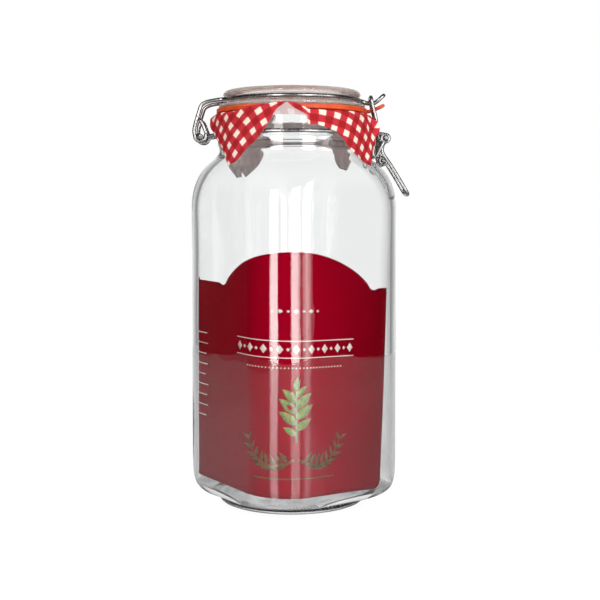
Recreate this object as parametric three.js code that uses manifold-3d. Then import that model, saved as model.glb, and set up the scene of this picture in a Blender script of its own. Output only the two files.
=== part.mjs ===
// A square glass clip top jar: round glass lid, rubber gasket, checked cloth held under the lid,
// card label inside the glass, and a steel wire clip made of neck wire, lid wire, bail and lever.
// Millimetres, +Z up. The origin is on the jar's axis in the plane it stands on.
// +X points to the clasp, -X to the hinge and -Y to the front.
import * as THREE from "three";
import { mergeVertices } from "three/addons/utils/BufferGeometryUtils.js";
import Module from "manifold-3d";

const wasm = await Module();
wasm.setup();

// Jar body
const BODY_HALF = 53.65; // half the width across the flat sides
const BODY_CORNER = 29; // radius of the upright corners
const BODY_YAW = THREE.MathUtils.degToRad(36); // the flat sides' turn from the hinge to clasp line
const WALL = 3.3;
const BASE_RING = 45.8; // radius of the round foot
const BASE_RING_TOP = 4.8;
const FOOT_ROUND = 3;
const BASE_RECESS = 0.8; // how far the flat underside is raised inside the foot
const FLOOR = 6.3; // top of the glass floor
const HEEL_TOP = 26;
const SHOULDER_FOOT = 182;
const NECK_WAIST = 45.3;
const WAIST_Z = 218.3;
const MOUTH = 41.6;
const RIM_Z = 240;

// Lid, gasket and cloth
const CLOTH = 0.5;
const GAP = 0.3;
const GASKET_Z = RIM_Z + CLOTH + 2 * GAP;
const GASKET_THICK = 3;
const GASKET_OUTER = 47;
const GASKET_INNER = 40.7;
const LID_FLANGE = 45.7;
const LID_FLANGE_Z = GASKET_Z + GASKET_THICK + GAP;
const LID_GROOVE = 40.4;
const LID_RING = 42.9; // radius of the rounded ring on top
const LID_TOP = 255.3;
const LID_BOSS = 39.6;

// Wires
const WIRE = 1.2; // wire radius
const NECK_WIRE = { radius: 46.95, z: 228.2 };
const LID_WIRE = { radius: 42.1, z: 249.3 };
const HINGE = { x: -56.1, z: 227.1 }; // the lid's hinge line, along Y
const HINGE_EYE = 3.4; // radius of the lid wire's curl round the hinge bar, at the wire's middle
const LEG_Y = 13; // where the lid wire's legs run
const HINGE_V_Y = 9.6; // where the neck wire's hinge loops run
const LEVER_PIN = { x: 57.4, z: 225.6 }; // the lever's pivot line, along Y
const CLASP_EYE = 2.35; // radius of the neck wire's eye, at the wire's middle
const CLASP_WIRE = 0.95; // wire radius of the eyes
const BRACKET_Y = 12.9;
const LEVER_Y = 9.8;
const BAIL_PIN = { x: 56.45, z: 212 }; // the bail's pivot line on the lever, along Y
const BAIL_Y = 6.5;
const BAIL_BAR = { x: 48.9, z: 251.3 }; // where the bail's bar lies over the nose
const PIN = 0.95; // radius of the pins
const NOSE_Y = 2.2;

const RING_STEPS = 40;
const WIRE_SIDES = 8;

const glass = new THREE.MeshStandardMaterial({
  color: 0xe4eae8, roughness: 0.05, transparent: true, opacity: 0.4,
});
const rubber = new THREE.MeshStandardMaterial({ color: 0xd9632b, roughness: 0.6 });
const gingham = new THREE.MeshStandardMaterial({ color: 0xc23a48, roughness: 0.9 });
const card = new THREE.MeshStandardMaterial({ color: 0x860a1c, roughness: 0.5 });
const steel = new THREE.MeshStandardMaterial({ color: 0xb9b9b6, roughness: 0.25, metalness: 1 });

const { lerp, degToRad } = THREE.MathUtils;

// Joins neighbouring rings of points into a closed surface. A ring of one point is a pole.
function skin(rings) {
  const points = [];
  const starts = [];
  for (const ring of rings) {
    starts.push(points.length);
    points.push(...ring);
  }
  const faces = [];
  for (let i = 0; i + 1 < rings.length; i++) {
    const at = (k, j) => starts[k] + (j % rings[k].length);
    const sides = Math.max(rings[i].length, rings[i + 1].length);
    for (let j = 0; j < sides; j++) {
      const corners = [at(i, j), at(i, j + 1), at(i + 1, j + 1), at(i + 1, j)];
      if (corners[0] !== corners[1]) faces.push(corners[0], corners[1], corners[2]);
      if (corners[2] !== corners[3]) faces.push(corners[0], corners[2], corners[3]);
    }
  }
  return new THREE.BufferGeometry().setFromPoints(points).setIndex(faces);
}

// The points of a rounded square, turned with the jar's body. Equal half and corner make a circle.
function squareRing(half, corner, z) {
  const ring = [];
  for (let i = 0; i < RING_STEPS; i++) {
    const turn = ((i + 0.5) / RING_STEPS) * 2 * Math.PI;
    const x = (half - corner) * Math.sign(Math.cos(turn)) + corner * Math.cos(turn);
    const y = (half - corner) * Math.sign(Math.sin(turn)) + corner * Math.sin(turn);
    const yawed = new THREE.Vector2(x, y).rotateAround(new THREE.Vector2(), BODY_YAW);
    ring.push(new THREE.Vector3(yawed.x, yawed.y, z));
  }
  return ring;
}

// Points of a curve whose x is the share of squareness, 0 round to 1 square, and whose y is height.
function shareCurve(start, pull, push, end, steps) {
  const points = [start, pull, push, end].map((p) => new THREE.Vector2(...p));
  return new THREE.CubicBezierCurve(...points).getPoints(steps);
}

function jarBody() {
  const rings = [[new THREE.Vector3(0, 0, BASE_RECESS)]];
  const round = (radius, z) => rings.push(squareRing(radius, radius, z));
  const blend = (radius, inset, curve) => {
    for (const p of curve) {
      const half = lerp(radius, BODY_HALF - inset, p.x);
      rings.push(squareRing(half, lerp(radius, BODY_CORNER - inset, p.x), p.y));
    }
  };
  round(BASE_RING - 8.8, BASE_RECESS);
  round(BASE_RING - 7.2, 0);
  for (const angle of [-90, -45, 0].map(degToRad)) {
    round(BASE_RING - FOOT_ROUND * (1 - Math.cos(angle)), FOOT_ROUND * (1 + Math.sin(angle)));
  }
  round(BASE_RING, BASE_RING_TOP);
  const heelEdge = BASE_RING_TOP + 0.4;
  blend(BASE_RING, 0, shareCurve([0.3, heelEdge], [0.9, 5.6], [1, 10], [1, HEEL_TOP], 6));
  const shoulder = [[1, SHOULDER_FOOT], [1, 210], [0, 211.8], [0, WAIST_Z]];
  blend(NECK_WAIST, 0, shareCurve(...shoulder, 8));
  // The bead that carries the neck wire, the wire's groove, and the rim.
  for (const [radius, z] of [[46.9, 220.9], [47.4, 222.2], [47.3, 224.2], [45.4, 226.2],
    [45.4, 230.3], [46.5, 231.6], [46.5, 238.4], [45.3, RIM_Z]]) {
    round(radius, z);
  }
  round(MOUTH + 1.2, RIM_Z);
  round(MOUTH, RIM_Z - 1.6);
  const inside = [[0, WAIST_Z - 1], [0, 210.5], [1, 208.5], [1, SHOULDER_FOOT - 1]];
  blend(MOUTH, WALL, shareCurve(...inside, 7));
  blend(MOUTH, WALL, shareCurve([1, 15], [1, 9.5], [0.9, 6.6], [0.6, FLOOR + 0.1], 4));
  rings.push([new THREE.Vector3(0, 0, FLOOR)]);
  return skin(rings);
}

// A lathe shape round Z from a profile of radius and height that runs anticlockwise.
function turned(profile, closed = false) {
  const points = profile.map((p) => new THREE.Vector2(...p));
  if (closed) points.push(points[0].clone());
  return new THREE.LatheGeometry(points, RING_STEPS).rotateX(Math.PI / 2);
}

function lidGlass() {
  const flangeTop = LID_FLANGE_Z + 2.2;
  return turned([
    [0, LID_FLANGE_Z + 0.4], [33, LID_FLANGE_Z + 0.2], [35.4, GASKET_Z + 0.3], [38.2, GASKET_Z],
    [LID_BOSS, GASKET_Z + 0.9], [LID_BOSS, LID_FLANGE_Z], [LID_FLANGE - 0.8, LID_FLANGE_Z],
    [LID_FLANGE, LID_FLANGE_Z + 0.7], [LID_FLANGE, flangeTop - 0.6], [LID_FLANGE - 0.9, flangeTop],
    [LID_GROOVE + 1.6, flangeTop + 0.5], [LID_GROOVE + 0.2, 247.9], [LID_GROOVE, 249.4],
    [LID_GROOVE + 0.3, 250.7], [LID_RING - 0.7, 251.4], [LID_RING, 252.4], [LID_RING - 0.5, 253.9],
    [LID_RING - 1.9, 255], [LID_RING - 3.8, LID_TOP], [LID_RING - 6, 254.8], [LID_RING - 8.4, 252.3],
    [LID_RING - 10.6, 251.6], [0, 251.5],
  ]);
}

// A pull tab on the gasket reaches out between the bail's two wires and a little up.
function gasket() {
  const top = GASKET_Z + GASKET_THICK;
  const ring = turned([
    [GASKET_INNER, GASKET_Z + 0.2], [GASKET_INNER + 0.5, GASKET_Z], [GASKET_OUTER - 0.9, GASKET_Z],
    [GASKET_OUTER, GASKET_Z + 0.9], [GASKET_OUTER, top - 0.9], [GASKET_OUTER - 0.9, top],
    [GASKET_INNER + 0.5, top], [GASKET_INNER, top - 0.2],
  ], true);
  const half = { width: 4.3, thick: 1.05 };
  const section = new THREE.Shape();
  section.moveTo(-half.width, -half.thick);
  section.lineTo(half.width, -half.thick);
  section.lineTo(half.width, half.thick);
  section.lineTo(-half.width, half.thick);
  const route = [[45.6, 0, 242.5], [48.4, 0, 243], [53, 0, 244.7], [57.8, 0, 247]];
  return joined([ring, extruded(section, route, 2)]);
}

// A path whose steps fall on its given points, so a bend gets as many as it needs.
class WirePath extends THREE.CatmullRomCurve3 {
  getPointAt(u, target) {
    return this.getPoint(u, target);
  }

  getTangentAt(u, target) {
    return this.getTangent(u, target);
  }
}

function extruded(section, route, stepsPerSpan) {
  const path = new WirePath(route.map((p) => new THREE.Vector3(...p)));
  const steps = (route.length - 1) * stepsPerSpan;
  return new THREE.ExtrudeGeometry(section, { steps, extrudePath: path, bevelEnabled: false });
}

function wire(route, radius = WIRE, stepsPerSpan = 1) {
  const section = new THREE.Shape();
  for (let i = 0; i < WIRE_SIDES; i++) {
    const angle = (i / WIRE_SIDES) * 2 * Math.PI;
    const point = [radius * Math.cos(angle), radius * Math.sin(angle)];
    if (i === 0) section.moveTo(...point);
    else section.lineTo(...point);
  }
  return extruded(section, route, stepsPerSpan);
}

// An eye is a small wire ring whose hole runs along Y.
function eye(at, y, radius = CLASP_EYE) {
  const ring = new THREE.TorusGeometry(radius, CLASP_WIRE, WIRE_SIDES, 14);
  return ring.rotateX(Math.PI / 2).translate(at.x, y, at.z);
}

function pin(at, from, to) {
  return wire([[at.x, from, at.z], [at.x, to, at.z]], PIN);
}

function solidOf(geometry) {
  const bare = geometry.clone();
  bare.deleteAttribute("normal");
  bare.deleteAttribute("uv");
  const merged = mergeVertices(bare, 1e-4);
  return new wasm.Manifold(new wasm.Mesh({
    numProp: 3,
    vertProperties: merged.attributes.position.array,
    triVerts: new Uint32Array(merged.index.array),
  }));
}

function joined(pieces) {
  const solid = pieces.map(solidOf).reduce((whole, piece) => whole.add(piece));
  const mesh = solid.getMesh();
  const geometry = new THREE.BufferGeometry();
  geometry.setAttribute("position", new THREE.BufferAttribute(mesh.vertProperties, 3));
  geometry.setIndex(new THREE.BufferAttribute(mesh.triVerts, 1));
  return geometry;
}

// The points of an arc in a plane of constant Y, from one angle to another.
function arcAlong(centre, y, radius, fromDeg, toDeg, steps) {
  const points = [];
  for (let i = 0; i <= steps; i++) {
    const angle = degToRad(lerp(fromDeg, toDeg, i / steps));
    points.push([centre.x + radius * Math.cos(angle), y, centre.z + radius * Math.sin(angle)]);
  }
  return points;
}

// A ring in the jar's neck groove, with two loops that hold the hinge bar and two brackets that
// hold the lever's eyes.
function neckWire() {
  const ring = new THREE.TorusGeometry(NECK_WIRE.radius, WIRE, WIRE_SIDES, RING_STEPS);
  const pieces = [ring.translate(0, 0, NECK_WIRE.z)];
  for (const side of [-1, 1]) {
    const loop = side * HINGE_V_Y;
    pieces.push(wire([
      [-45.9, loop, NECK_WIRE.z], [-49, loop, 227.4], [-51.4, loop, 227.3], [-53, loop, 229.6],
      [-55.6, loop, 235.8], [-56.9, loop, 237.1], [-57.9, loop, 236], [-59.2, loop, 230.4],
      [-58.8, loop, 228], [HINGE.x, loop, HINGE.z],
    ]));
    const bracket = side * BRACKET_Y;
    const eyeTop = LEVER_PIN.z + CLASP_EYE;
    pieces.push(wire([
      [45.1, bracket, NECK_WIRE.z], [50, bracket, NECK_WIRE.z + 0.2],
      [54.4, bracket, NECK_WIRE.z + 0.2], [LEVER_PIN.x, bracket, eyeTop],
    ], CLASP_WIRE));
    pieces.push(eye(LEVER_PIN, bracket));
    pieces.push(wire([
      [LEVER_PIN.x - 1, bracket, LEVER_PIN.z - CLASP_EYE], [54, bracket, 218.6],
      [51.5, bracket, 214.6], [50.3, bracket, 214.9], [49.5, bracket, 218.2],
      [46.6, bracket, 227.4],
    ], CLASP_WIRE));
  }
  const barEnd = LEG_Y + 2;
  pieces.push(wire([[HINGE.x, -barEnd, HINGE.z], [HINGE.x, barEnd, HINGE.z]]));
  return joined(pieces);
}

// One leg of the lid wire: a curl round the hinge bar, then up and over to the lid's groove.
function lidWireLeg(y) {
  return [
    ...arcAlong(HINGE, y, HINGE_EYE, 375, 180, 10),
    [HINGE.x - 3.8, y, HINGE.z + 3.2], [-56.7, y, 242.3], [-55.4, y, 245.6], [-53, y, 247.3],
    [-46, y, LID_WIRE.z - 0.4], [-42.2, y * 1.03, LID_WIRE.z],
  ];
}

// The lid wire runs in the lid's groove. It ends in two hinge legs, and a nose sticks out of it
// at the clasp, where it dips and then rises.
function lidWire() {
  const { radius, z } = LID_WIRE;
  const nose = [[radius + 0.6, z], [45, z - 0.8], [47, 248], [50.8, 248], [52.6, 248.9],
    [56.4, 252.2]];
  const half = (side) => {
    const points = lidWireLeg(side * LEG_Y);
    for (let turn = 158; turn >= 12; turn -= 9) {
      const angle = degToRad(turn);
      points.push([radius * Math.cos(angle), side * radius * Math.sin(angle), z]);
    }
    points.push([radius, side * 5, z]);
    points.push(...nose.map(([x, height], i) => [x, side * (i === 0 ? 3.2 : NOSE_Y), height]));
    return points;
  };
  const tip = [57.2, 0, 252.9];
  return joined([wire([...half(-1), tip, ...half(1).reverse()])]);
}

// The bail's bar lies over the nose, and its two wires hang on the lever.
function bail() {
  const side = (y) => [
    [BAIL_BAR.x, y * 0.8, BAIL_BAR.z], [BAIL_BAR.x + 0.3, y, BAIL_BAR.z - 1.4], [50, y, 245.8],
    [51.9, y, 238.4], [52.9, y, 230], [53.2, y, 221], [53.1, y, 215.4], [54.2, y, 212.7],
    [BAIL_PIN.x, y, BAIL_PIN.z],
  ];
  const arms = wire([...side(-BAIL_Y).reverse(), [BAIL_BAR.x, 0, BAIL_BAR.z], ...side(BAIL_Y)],
    CLASP_WIRE + 0.15);
  const pins = [-1, 1].map((s) => pin(BAIL_PIN, s * (BAIL_Y - 0.6), s * (LEVER_Y + 1.4)));
  return joined([arms, ...pins]);
}

// Two side wires hang from the neck wire's eyes and meet in a rounded handle.
function lever() {
  const side = (y) => [
    [LEVER_PIN.x, y, LEVER_PIN.z], [55.4, y, 218.6], [56.3, y, 216], [60.6, y, 209.6],
    [65.6, y, 201.6], [70.2, y, 193.8], [71.3, y * 0.9, 192],
  ];
  const tip = [71.8, 0, 191.2];
  const pieces = [wire([...side(-LEVER_Y), [71.8, -LEVER_Y * 0.6, 191.2], tip,
    [71.8, LEVER_Y * 0.6, 191.2], ...side(LEVER_Y).reverse()])];
  for (const s of [-1, 1]) {
    pieces.push(pin(LEVER_PIN, s * (LEVER_Y - 0.6), s * (BRACKET_Y + 1.8)));
    pieces.push(eye(BAIL_PIN, s * LEVER_Y));
  }
  return joined(pieces);
}

// The cloth is a four-cornered sheet over the rim. Each corner has a direction and a reach along
// the cloth from the middle, and the sheet's edge is straight between neighbouring corners.
const CLOTH_CORNERS = [[-138, 81.5], [-28, 81], [45, 73], [135, 73]];
const CLOTH_BEND = 46.4; // where the cloth turns down over the rim
const CLOTH_CURL = 2.6; // radius of that turn
const CLOTH_TUCK = { reach: 53.5, from: 15, to: 27 }; // held up at the hinge and clasp, in degrees

function clothEdge(deg) {
  for (let i = 0; i < CLOTH_CORNERS.length; i++) {
    const [from, near] = CLOTH_CORNERS[i];
    const [next, far] = CLOTH_CORNERS[(i + 1) % CLOTH_CORNERS.length];
    const span = degToRad((next - from + 360) % 360);
    const into = degToRad((deg - from + 720) % 360);
    if (into > span) continue;
    const reach = (near * far * Math.sin(span))
      / (near * Math.sin(into) + far * Math.sin(span - into));
    const offAxis = Math.abs(((deg + 270) % 180) - 90); // 0 at the hinge and the clasp
    const free = THREE.MathUtils.smoothstep(offAxis, CLOTH_TUCK.from, CLOTH_TUCK.to);
    return lerp(Math.min(reach, CLOTH_TUCK.reach), reach, free);
  }
  return CLOTH_BEND;
}

// A point of the cloth at a distance along it from the middle, raised by lift along its normal.
function clothPoint(deg, along, lift) {
  const flare = degToRad(8.5); // the hanging part's lean away from the jar
  const quarter = Math.PI / 2 - flare;
  const past = Math.max(along - CLOTH_BEND, 0);
  const turn = Math.min(past / CLOTH_CURL, quarter);
  const hang = Math.max(past - quarter * CLOTH_CURL, 0);
  const sag = 0.9 * (1 - THREE.MathUtils.smoothstep(along, 30, 40));
  const middle = RIM_Z + GAP + CLOTH / 2;
  const radius = Math.min(along, CLOTH_BEND) + CLOTH_CURL * Math.sin(turn)
    + hang * Math.sin(flare) + lift * Math.sin(turn);
  const z = middle - sag - CLOTH_CURL * (1 - Math.cos(turn)) - hang * Math.cos(flare)
    + lift * Math.cos(turn);
  return new THREE.Vector3(radius * Math.cos(degToRad(deg)), radius * Math.sin(degToRad(deg)), z);
}

function cloth() {
  const steps = 60;
  const ring = (place, lift) => {
    const points = [];
    for (let i = 0; i < steps; i++) {
      const deg = CLOTH_CORNERS[0][0] + (i * 360) / steps;
      points.push(clothPoint(deg, place(clothEdge(deg)), lift));
    }
    return points;
  };
  const places = [30, 40, CLOTH_BEND - 2].map((along) => () => along);
  for (const share of [0, 0.2, 0.45, 0.72, 1]) {
    places.push((edge) => lerp(CLOTH_BEND - 0.4, edge, share));
  }
  const half = CLOTH / 2;
  const under = places.map((place) => ring(place, -half));
  const over = places.map((place) => ring(place, half)).reverse();
  return skin([[clothPoint(0, 0, -half)], ...under, ...over, [clothPoint(0, 0, half)]]);
}

// The card label stands against the inside of the wall, a little turned clockwise. Along the card,
// 0 is the jar's front corner and the clasp side is positive.
const LABEL = {
  from: -91, to: 79, bottom: 14.2, shoulder: 136.4, arch: 21.4, archMiddle: 11, archHalf: 53.5,
  clear: 0.8, thick: 0.6, tilt: Math.tan(degToRad(1.7)),
};

// The place on the inside of the wall at a distance round it from the front corner.
function wallPoint(along, inset) {
  const half = BODY_HALF - WALL - LABEL.clear;
  const corner = BODY_CORNER - WALL - LABEL.clear;
  const flat = 2 * (half - corner);
  const arc = (corner * Math.PI) / 2;
  const whole = flat + arc;
  const place = along + arc / 2 + 2 * whole;
  const quarter = Math.floor(place / whole);
  const into = place - quarter * whole;
  const turn = (Math.min(into, arc) / arc) * (Math.PI / 2);
  const start = new THREE.Vector2(corner - inset, 0).rotateAround(new THREE.Vector2(), turn);
  start.add(new THREE.Vector2(half - corner, half - corner));
  start.x -= Math.max(into - arc, 0);
  start.rotateAround(new THREE.Vector2(), BODY_YAW + quarter * (Math.PI / 2));
  return start;
}

function labelCard() {
  const steps = 60;
  const sections = [];
  for (let i = 0; i <= steps; i++) {
    const along = lerp(LABEL.from, LABEL.to, i / steps);
    const across = (along - LABEL.archMiddle) / LABEL.archHalf;
    const arch = LABEL.arch * Math.max(1 - across * across, 0) ** 0.8;
    const drop = -LABEL.tilt * along;
    const low = LABEL.bottom + drop;
    const high = LABEL.shoulder + arch + drop;
    const outer = wallPoint(along, 0);
    const inner = wallPoint(along, LABEL.thick);
    sections.push([[outer, low], [inner, low], [inner, high], [outer, high]]
      .map(([p, z]) => new THREE.Vector3(p.x, p.y, z)));
  }
  const middle = (s) => s[0].clone().add(s[2]).multiplyScalar(0.5);
  return skin([[middle(sections[0])], ...sections, [middle(sections[steps])]]);
}

function part(name, geometry, material) {
  const mesh = new THREE.Mesh(geometry, material);
  mesh.name = name;
  return mesh;
}

const jar = new THREE.Group();
jar.add(part("jar_body", jarBody(), glass));
jar.add(part("cloth", cloth(), gingham));
jar.add(part("label_card", labelCard(), card));
jar.add(part("neck_wire", neckWire(), steel));

const lid = new THREE.Group();
lid.add(part("lid_glass", lidGlass(), glass));
lid.add(part("gasket", gasket(), rubber));
lid.add(part("lid_wire", lidWire(), steel));

const clip = new THREE.Group();
clip.add(part("lever", lever(), steel));
clip.add(part("bail", bail(), steel));

const whole = new THREE.Group();
whole.add(jar, lid, clip);

export default whole;
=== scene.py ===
# Looks of the square clip top jar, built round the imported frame.
# Shapes are worked out in millimetres and turned into metres when a mesh is made.
import math

import bpy
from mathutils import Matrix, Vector, noise


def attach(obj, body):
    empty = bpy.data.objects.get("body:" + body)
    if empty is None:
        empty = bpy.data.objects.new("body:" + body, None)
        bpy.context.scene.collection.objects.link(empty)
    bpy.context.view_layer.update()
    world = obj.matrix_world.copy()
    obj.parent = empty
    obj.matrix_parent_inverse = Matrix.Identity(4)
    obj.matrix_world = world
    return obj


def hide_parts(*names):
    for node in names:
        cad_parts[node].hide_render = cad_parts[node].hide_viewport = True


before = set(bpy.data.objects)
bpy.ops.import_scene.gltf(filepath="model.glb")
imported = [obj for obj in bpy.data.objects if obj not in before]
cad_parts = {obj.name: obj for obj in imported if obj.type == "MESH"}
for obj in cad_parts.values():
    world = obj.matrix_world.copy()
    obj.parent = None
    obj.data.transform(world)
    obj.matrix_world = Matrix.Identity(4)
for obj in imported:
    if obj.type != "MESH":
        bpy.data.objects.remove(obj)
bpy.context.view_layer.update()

MM = 0.001
TAU = 2 * math.pi

# Jar body
BODY_HALF = 54.05  # half the width across the flat sides
BODY_SHIFT = 0.8  # the moulded body stands a little toward the clip
BODY_CORNER = 29
BODY_YAW = math.radians(36)  # the flat sides' turn from the hinge to clasp line
WALL = 3.3
BASE_RING = 45.8
BASE_RING_TOP = 4.8
FOOT_ROUND = 3
BASE_RECESS = 0.8
FLOOR_TOP = 6.3
HEEL_TOP = 26
SHOULDER_FOOT = 182
NECK_WAIST = 45.3
WAIST_Z = 218.3
MOUTH = 41.6
RIM_Z = 240
RIBS = 100  # fine ribs round the foot and the lower heel
RIB_DEPTH = 0.8
RIB_FOOT = 0.6  # the height at which they start
RIB_TOP = 11.5
BODY_SIDES = 4 * RIBS
MOULD_WAVES = 26  # the length of the moulded glass's soft waves

# Lid, gasket and cloth
CLOTH = 0.5  # the room between the rim and the gasket that the cloth lies in
GAP = 0.3
GASKET_Z = RIM_Z + CLOTH + 2 * GAP
GASKET_THICK = 3
GASKET_OUTER = 47
GASKET_INNER = 40.7
LID_FLANGE = 45.7
LID_FLANGE_Z = GASKET_Z + GASKET_THICK + GAP
LID_GROOVE = 40.4
LID_RING = 42.9
LID_TOP = 255.3
LID_BOSS = 39.6
TURNED_SIDES = 192
TAB_ROUTE = ((45.2, 0, 242.5), (48.4, 0, 243), (53, 0, 244.7), (57.8, 0, 247))
TAB_LENGTH = 12.6
TAB_HALF_WIDTH = 4.3
TAB_ROUND = 3.2
GRIP_PITCH = 1.6
GRIP_HEIGHT = 0.16

# Wires, with places as (x, height) or (radius, height)
WIRE = 1.2  # wire radius
WIRE_STEP = 0.7
WIRE_SIDES = 16
CAP_TURNS = (0.45, 0.9, 1.25)  # how far round a wire's rounded end its rings lie
CAP_REACH = 0.5  # the rounded end's length, as a share of the wire's radius
NECK_WIRE = (46.95, 228.2)
LID_WIRE = (42.1, 249.3)
HINGE = (-56.1, 227.1)
HINGE_EYE = 3.4
LEG_Y = 13  # where the lid wire's legs run
HINGE_V_Y = 9.6  # where the neck wire's hinge loops run
LEVER_PIN = (57.4, 225.6)
CLASP_EYE = 2.35
CLASP_WIRE = 0.95
BRACKET_Y = 12.9
LEVER_Y = 9.8
BAIL_PIN = (56.45, 212)
BAIL_Y = 6.5
BAIL_BAR = (48.9, 251.3)
PIN = 0.95
NOSE_Y = 2.2


def lerp(a, b, share):
    return a + (b - a) * share


def smoothstep(value, low, high):
    share = min(max((value - low) / (high - low), 0), 1)
    return share * share * (3 - 2 * share)


def linear(red, green, blue):
    """A colour given in 0 to 255 screen values, as linear light."""
    shares = [c / 255 for c in (red, green, blue)]
    light = [s / 12.92 if s <= 0.04045 else ((s + 0.055) / 1.055) ** 2.4 for s in shares]
    return (*light, 1)


# Meshes

def skin(rings):
    """Vertices and faces that join neighbouring rings of points. A ring of one point is a pole."""
    verts, starts, faces = [], [], []
    for ring in rings:
        starts.append(len(verts))
        verts.extend(ring)
    for i in range(len(rings) - 1):
        sides = max(len(rings[i]), len(rings[i + 1]))
        for j in range(sides):
            face = []
            for k, step in ((i, j), (i, j + 1), (i + 1, j + 1), (i + 1, j)):
                corner = starts[k] + step % len(rings[k])
                if corner not in face:
                    face.append(corner)
            faces.append(face)
    return verts, faces


def made(name, shells, body, nodes=(), smooth=True):
    """One object from several closed shells. It rides on a body and stands for the CAD nodes."""
    verts, faces = [], []
    for shell_verts, shell_faces in shells:
        start = len(verts)
        verts.extend([c * MM for c in v] for v in shell_verts)
        faces.extend([start + i for i in face] for face in shell_faces)
    mesh = bpy.data.meshes.new(name)
    mesh.from_pydata(verts, [], faces)
    mesh.polygons.foreach_set("use_smooth", [smooth] * len(mesh.polygons))
    mesh.update()
    piece = bpy.data.objects.new(name, mesh)
    bpy.context.scene.collection.objects.link(piece)
    if body:
        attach(piece, body)
    if nodes:
        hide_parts(*nodes)
    return piece


def bezier(p0, p1, p2, p3, steps):
    points = []
    for i in range(steps + 1):
        s = i / steps
        r = 1 - s
        weights = (r ** 3, 3 * r * r * s, 3 * r * s * s, s ** 3)
        points.append([sum(w * p[k] for w, p in zip(weights, (p0, p1, p2, p3))) for k in (0, 1)])
    return points


def through(points, spacing, closed=False):
    """A smooth line through the points, with steps of about that length."""
    points = [Vector(p) for p in points]
    count = len(points)
    line = []
    for i in range(count if closed else count - 1):
        if closed:
            around = [points[(i + k) % count] for k in (-1, 0, 1, 2)]
        else:
            around = [points[min(max(i + k, 0), count - 1)] for k in (-1, 0, 1, 2)]
            if i == 0:
                around[0] = 2 * points[0] - points[1]
            if i == count - 2:
                around[3] = 2 * points[-1] - points[-2]
        p0, p1, p2, p3 = around
        knots = [0.0]
        for a, b in ((p0, p1), (p1, p2), (p2, p3)):
            knots.append(knots[-1] + max((b - a).length, 1e-6) ** 0.5)
        t0, t1, t2, t3 = knots
        steps = max(1, round((p2 - p1).length / spacing))
        for k in range(steps):
            t = lerp(t1, t2, k / steps)
            a1 = p0.lerp(p1, (t - t0) / (t1 - t0))
            a2 = p1.lerp(p2, (t - t1) / (t2 - t1))
            a3 = p2.lerp(p3, (t - t2) / (t3 - t2))
            b1 = a1.lerp(a2, (t - t0) / (t2 - t0))
            b2 = a2.lerp(a3, (t - t1) / (t3 - t1))
            line.append(b1.lerp(b2, (t - t1) / (t2 - t1)))
    if not closed:
        line.append(points[-1])
    return line


def tube(route, radius, closed=False, spacing=WIRE_STEP):
    """A round wire along a smooth line through the route's points, with rounded ends."""
    line = through(route, spacing, closed)
    count = len(line)
    rings = []
    side = None
    for i, point in enumerate(line):
        after = line[(i + 1) % count] if closed or i + 1 < count else point
        before = line[i - 1] if closed or i > 0 else point
        along = (after - before).normalized()
        if side is None:
            side = along.orthogonal().normalized()
        side = (side - along * side.dot(along)).normalized()
        up = along.cross(side)
        rings.append((point, side.copy(), up, along))
    sections = [[p + (s * math.cos(a) + u * math.sin(a)) * radius for a in ring_angles()]
                for p, s, u, _ in rings]
    if closed:
        # The last ring is turned on to the first, so the seam closes without a twist.
        first = rings[0]
        last_side = rings[-1][1]
        twist = math.atan2(last_side.dot(first[2]), last_side.dot(first[1]))
        for i, (p, s, u, _) in enumerate(rings):
            back = -twist * i / (count - 1)
            sections[i] = [p + (s * math.cos(a + back) + u * math.sin(a + back)) * radius
                           for a in ring_angles()]
        return skin([*sections, sections[0]])
    caps = []
    for (p, s, u, along), way in ((rings[0], -1), (rings[-1], 1)):
        cap = []
        for turn in CAP_TURNS:
            wide = radius * math.cos(turn)
            centre = p + along * (way * radius * CAP_REACH * math.sin(turn))
            cap.append([centre + (s * math.cos(a) + u * math.sin(a)) * wide for a in ring_angles()])
        tip = [p + along * (way * radius * CAP_REACH)]
        caps.append([*cap, tip])
    return skin([*reversed(caps[0]), *sections, *caps[1]])


def ring_angles():
    return [TAU * i / WIRE_SIDES for i in range(WIRE_SIDES)]


def turned(profile, sides=TURNED_SIDES, closed=False):
    """A shell turned round Z from (radius, height) points. An end on the axis is a pole."""
    rings = []
    for radius, z in profile:
        if radius < 1e-6:
            rings.append([(0, 0, z)])
            continue
        rings.append([(radius * math.cos(TAU * i / sides), radius * math.sin(TAU * i / sides), z)
                      for i in range(sides)])
    if closed:
        rings.append(rings[0])
    return skin(rings)


# Glass

def square_ring(half, corner, z, sides=BODY_SIDES):
    """A rounded square, turned with the body. Equal half and corner make a circle."""
    ring = []
    for i in range(sides):
        turn = (i + 0.5) / sides * TAU
        x = (half - corner) * math.copysign(1, math.cos(turn)) + corner * math.cos(turn)
        y = (half - corner) * math.copysign(1, math.sin(turn)) + corner * math.sin(turn)
        ring.append((x * math.cos(BODY_YAW) - y * math.sin(BODY_YAW),
                     x * math.sin(BODY_YAW) + y * math.cos(BODY_YAW), z))
    return ring


def uneven(ring, depth, scale, seed):
    """The ring with the soft unevenness of moulded glass, across its surface."""
    moved = []
    for x, y, z in ring:
        reach = math.hypot(x, y)
        push = noise.noise(Vector((x / scale, y / scale, z / (1.8 * scale) + seed))) * depth
        moved.append((x + x / reach * push, y + y / reach * push, z))
    return moved


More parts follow.
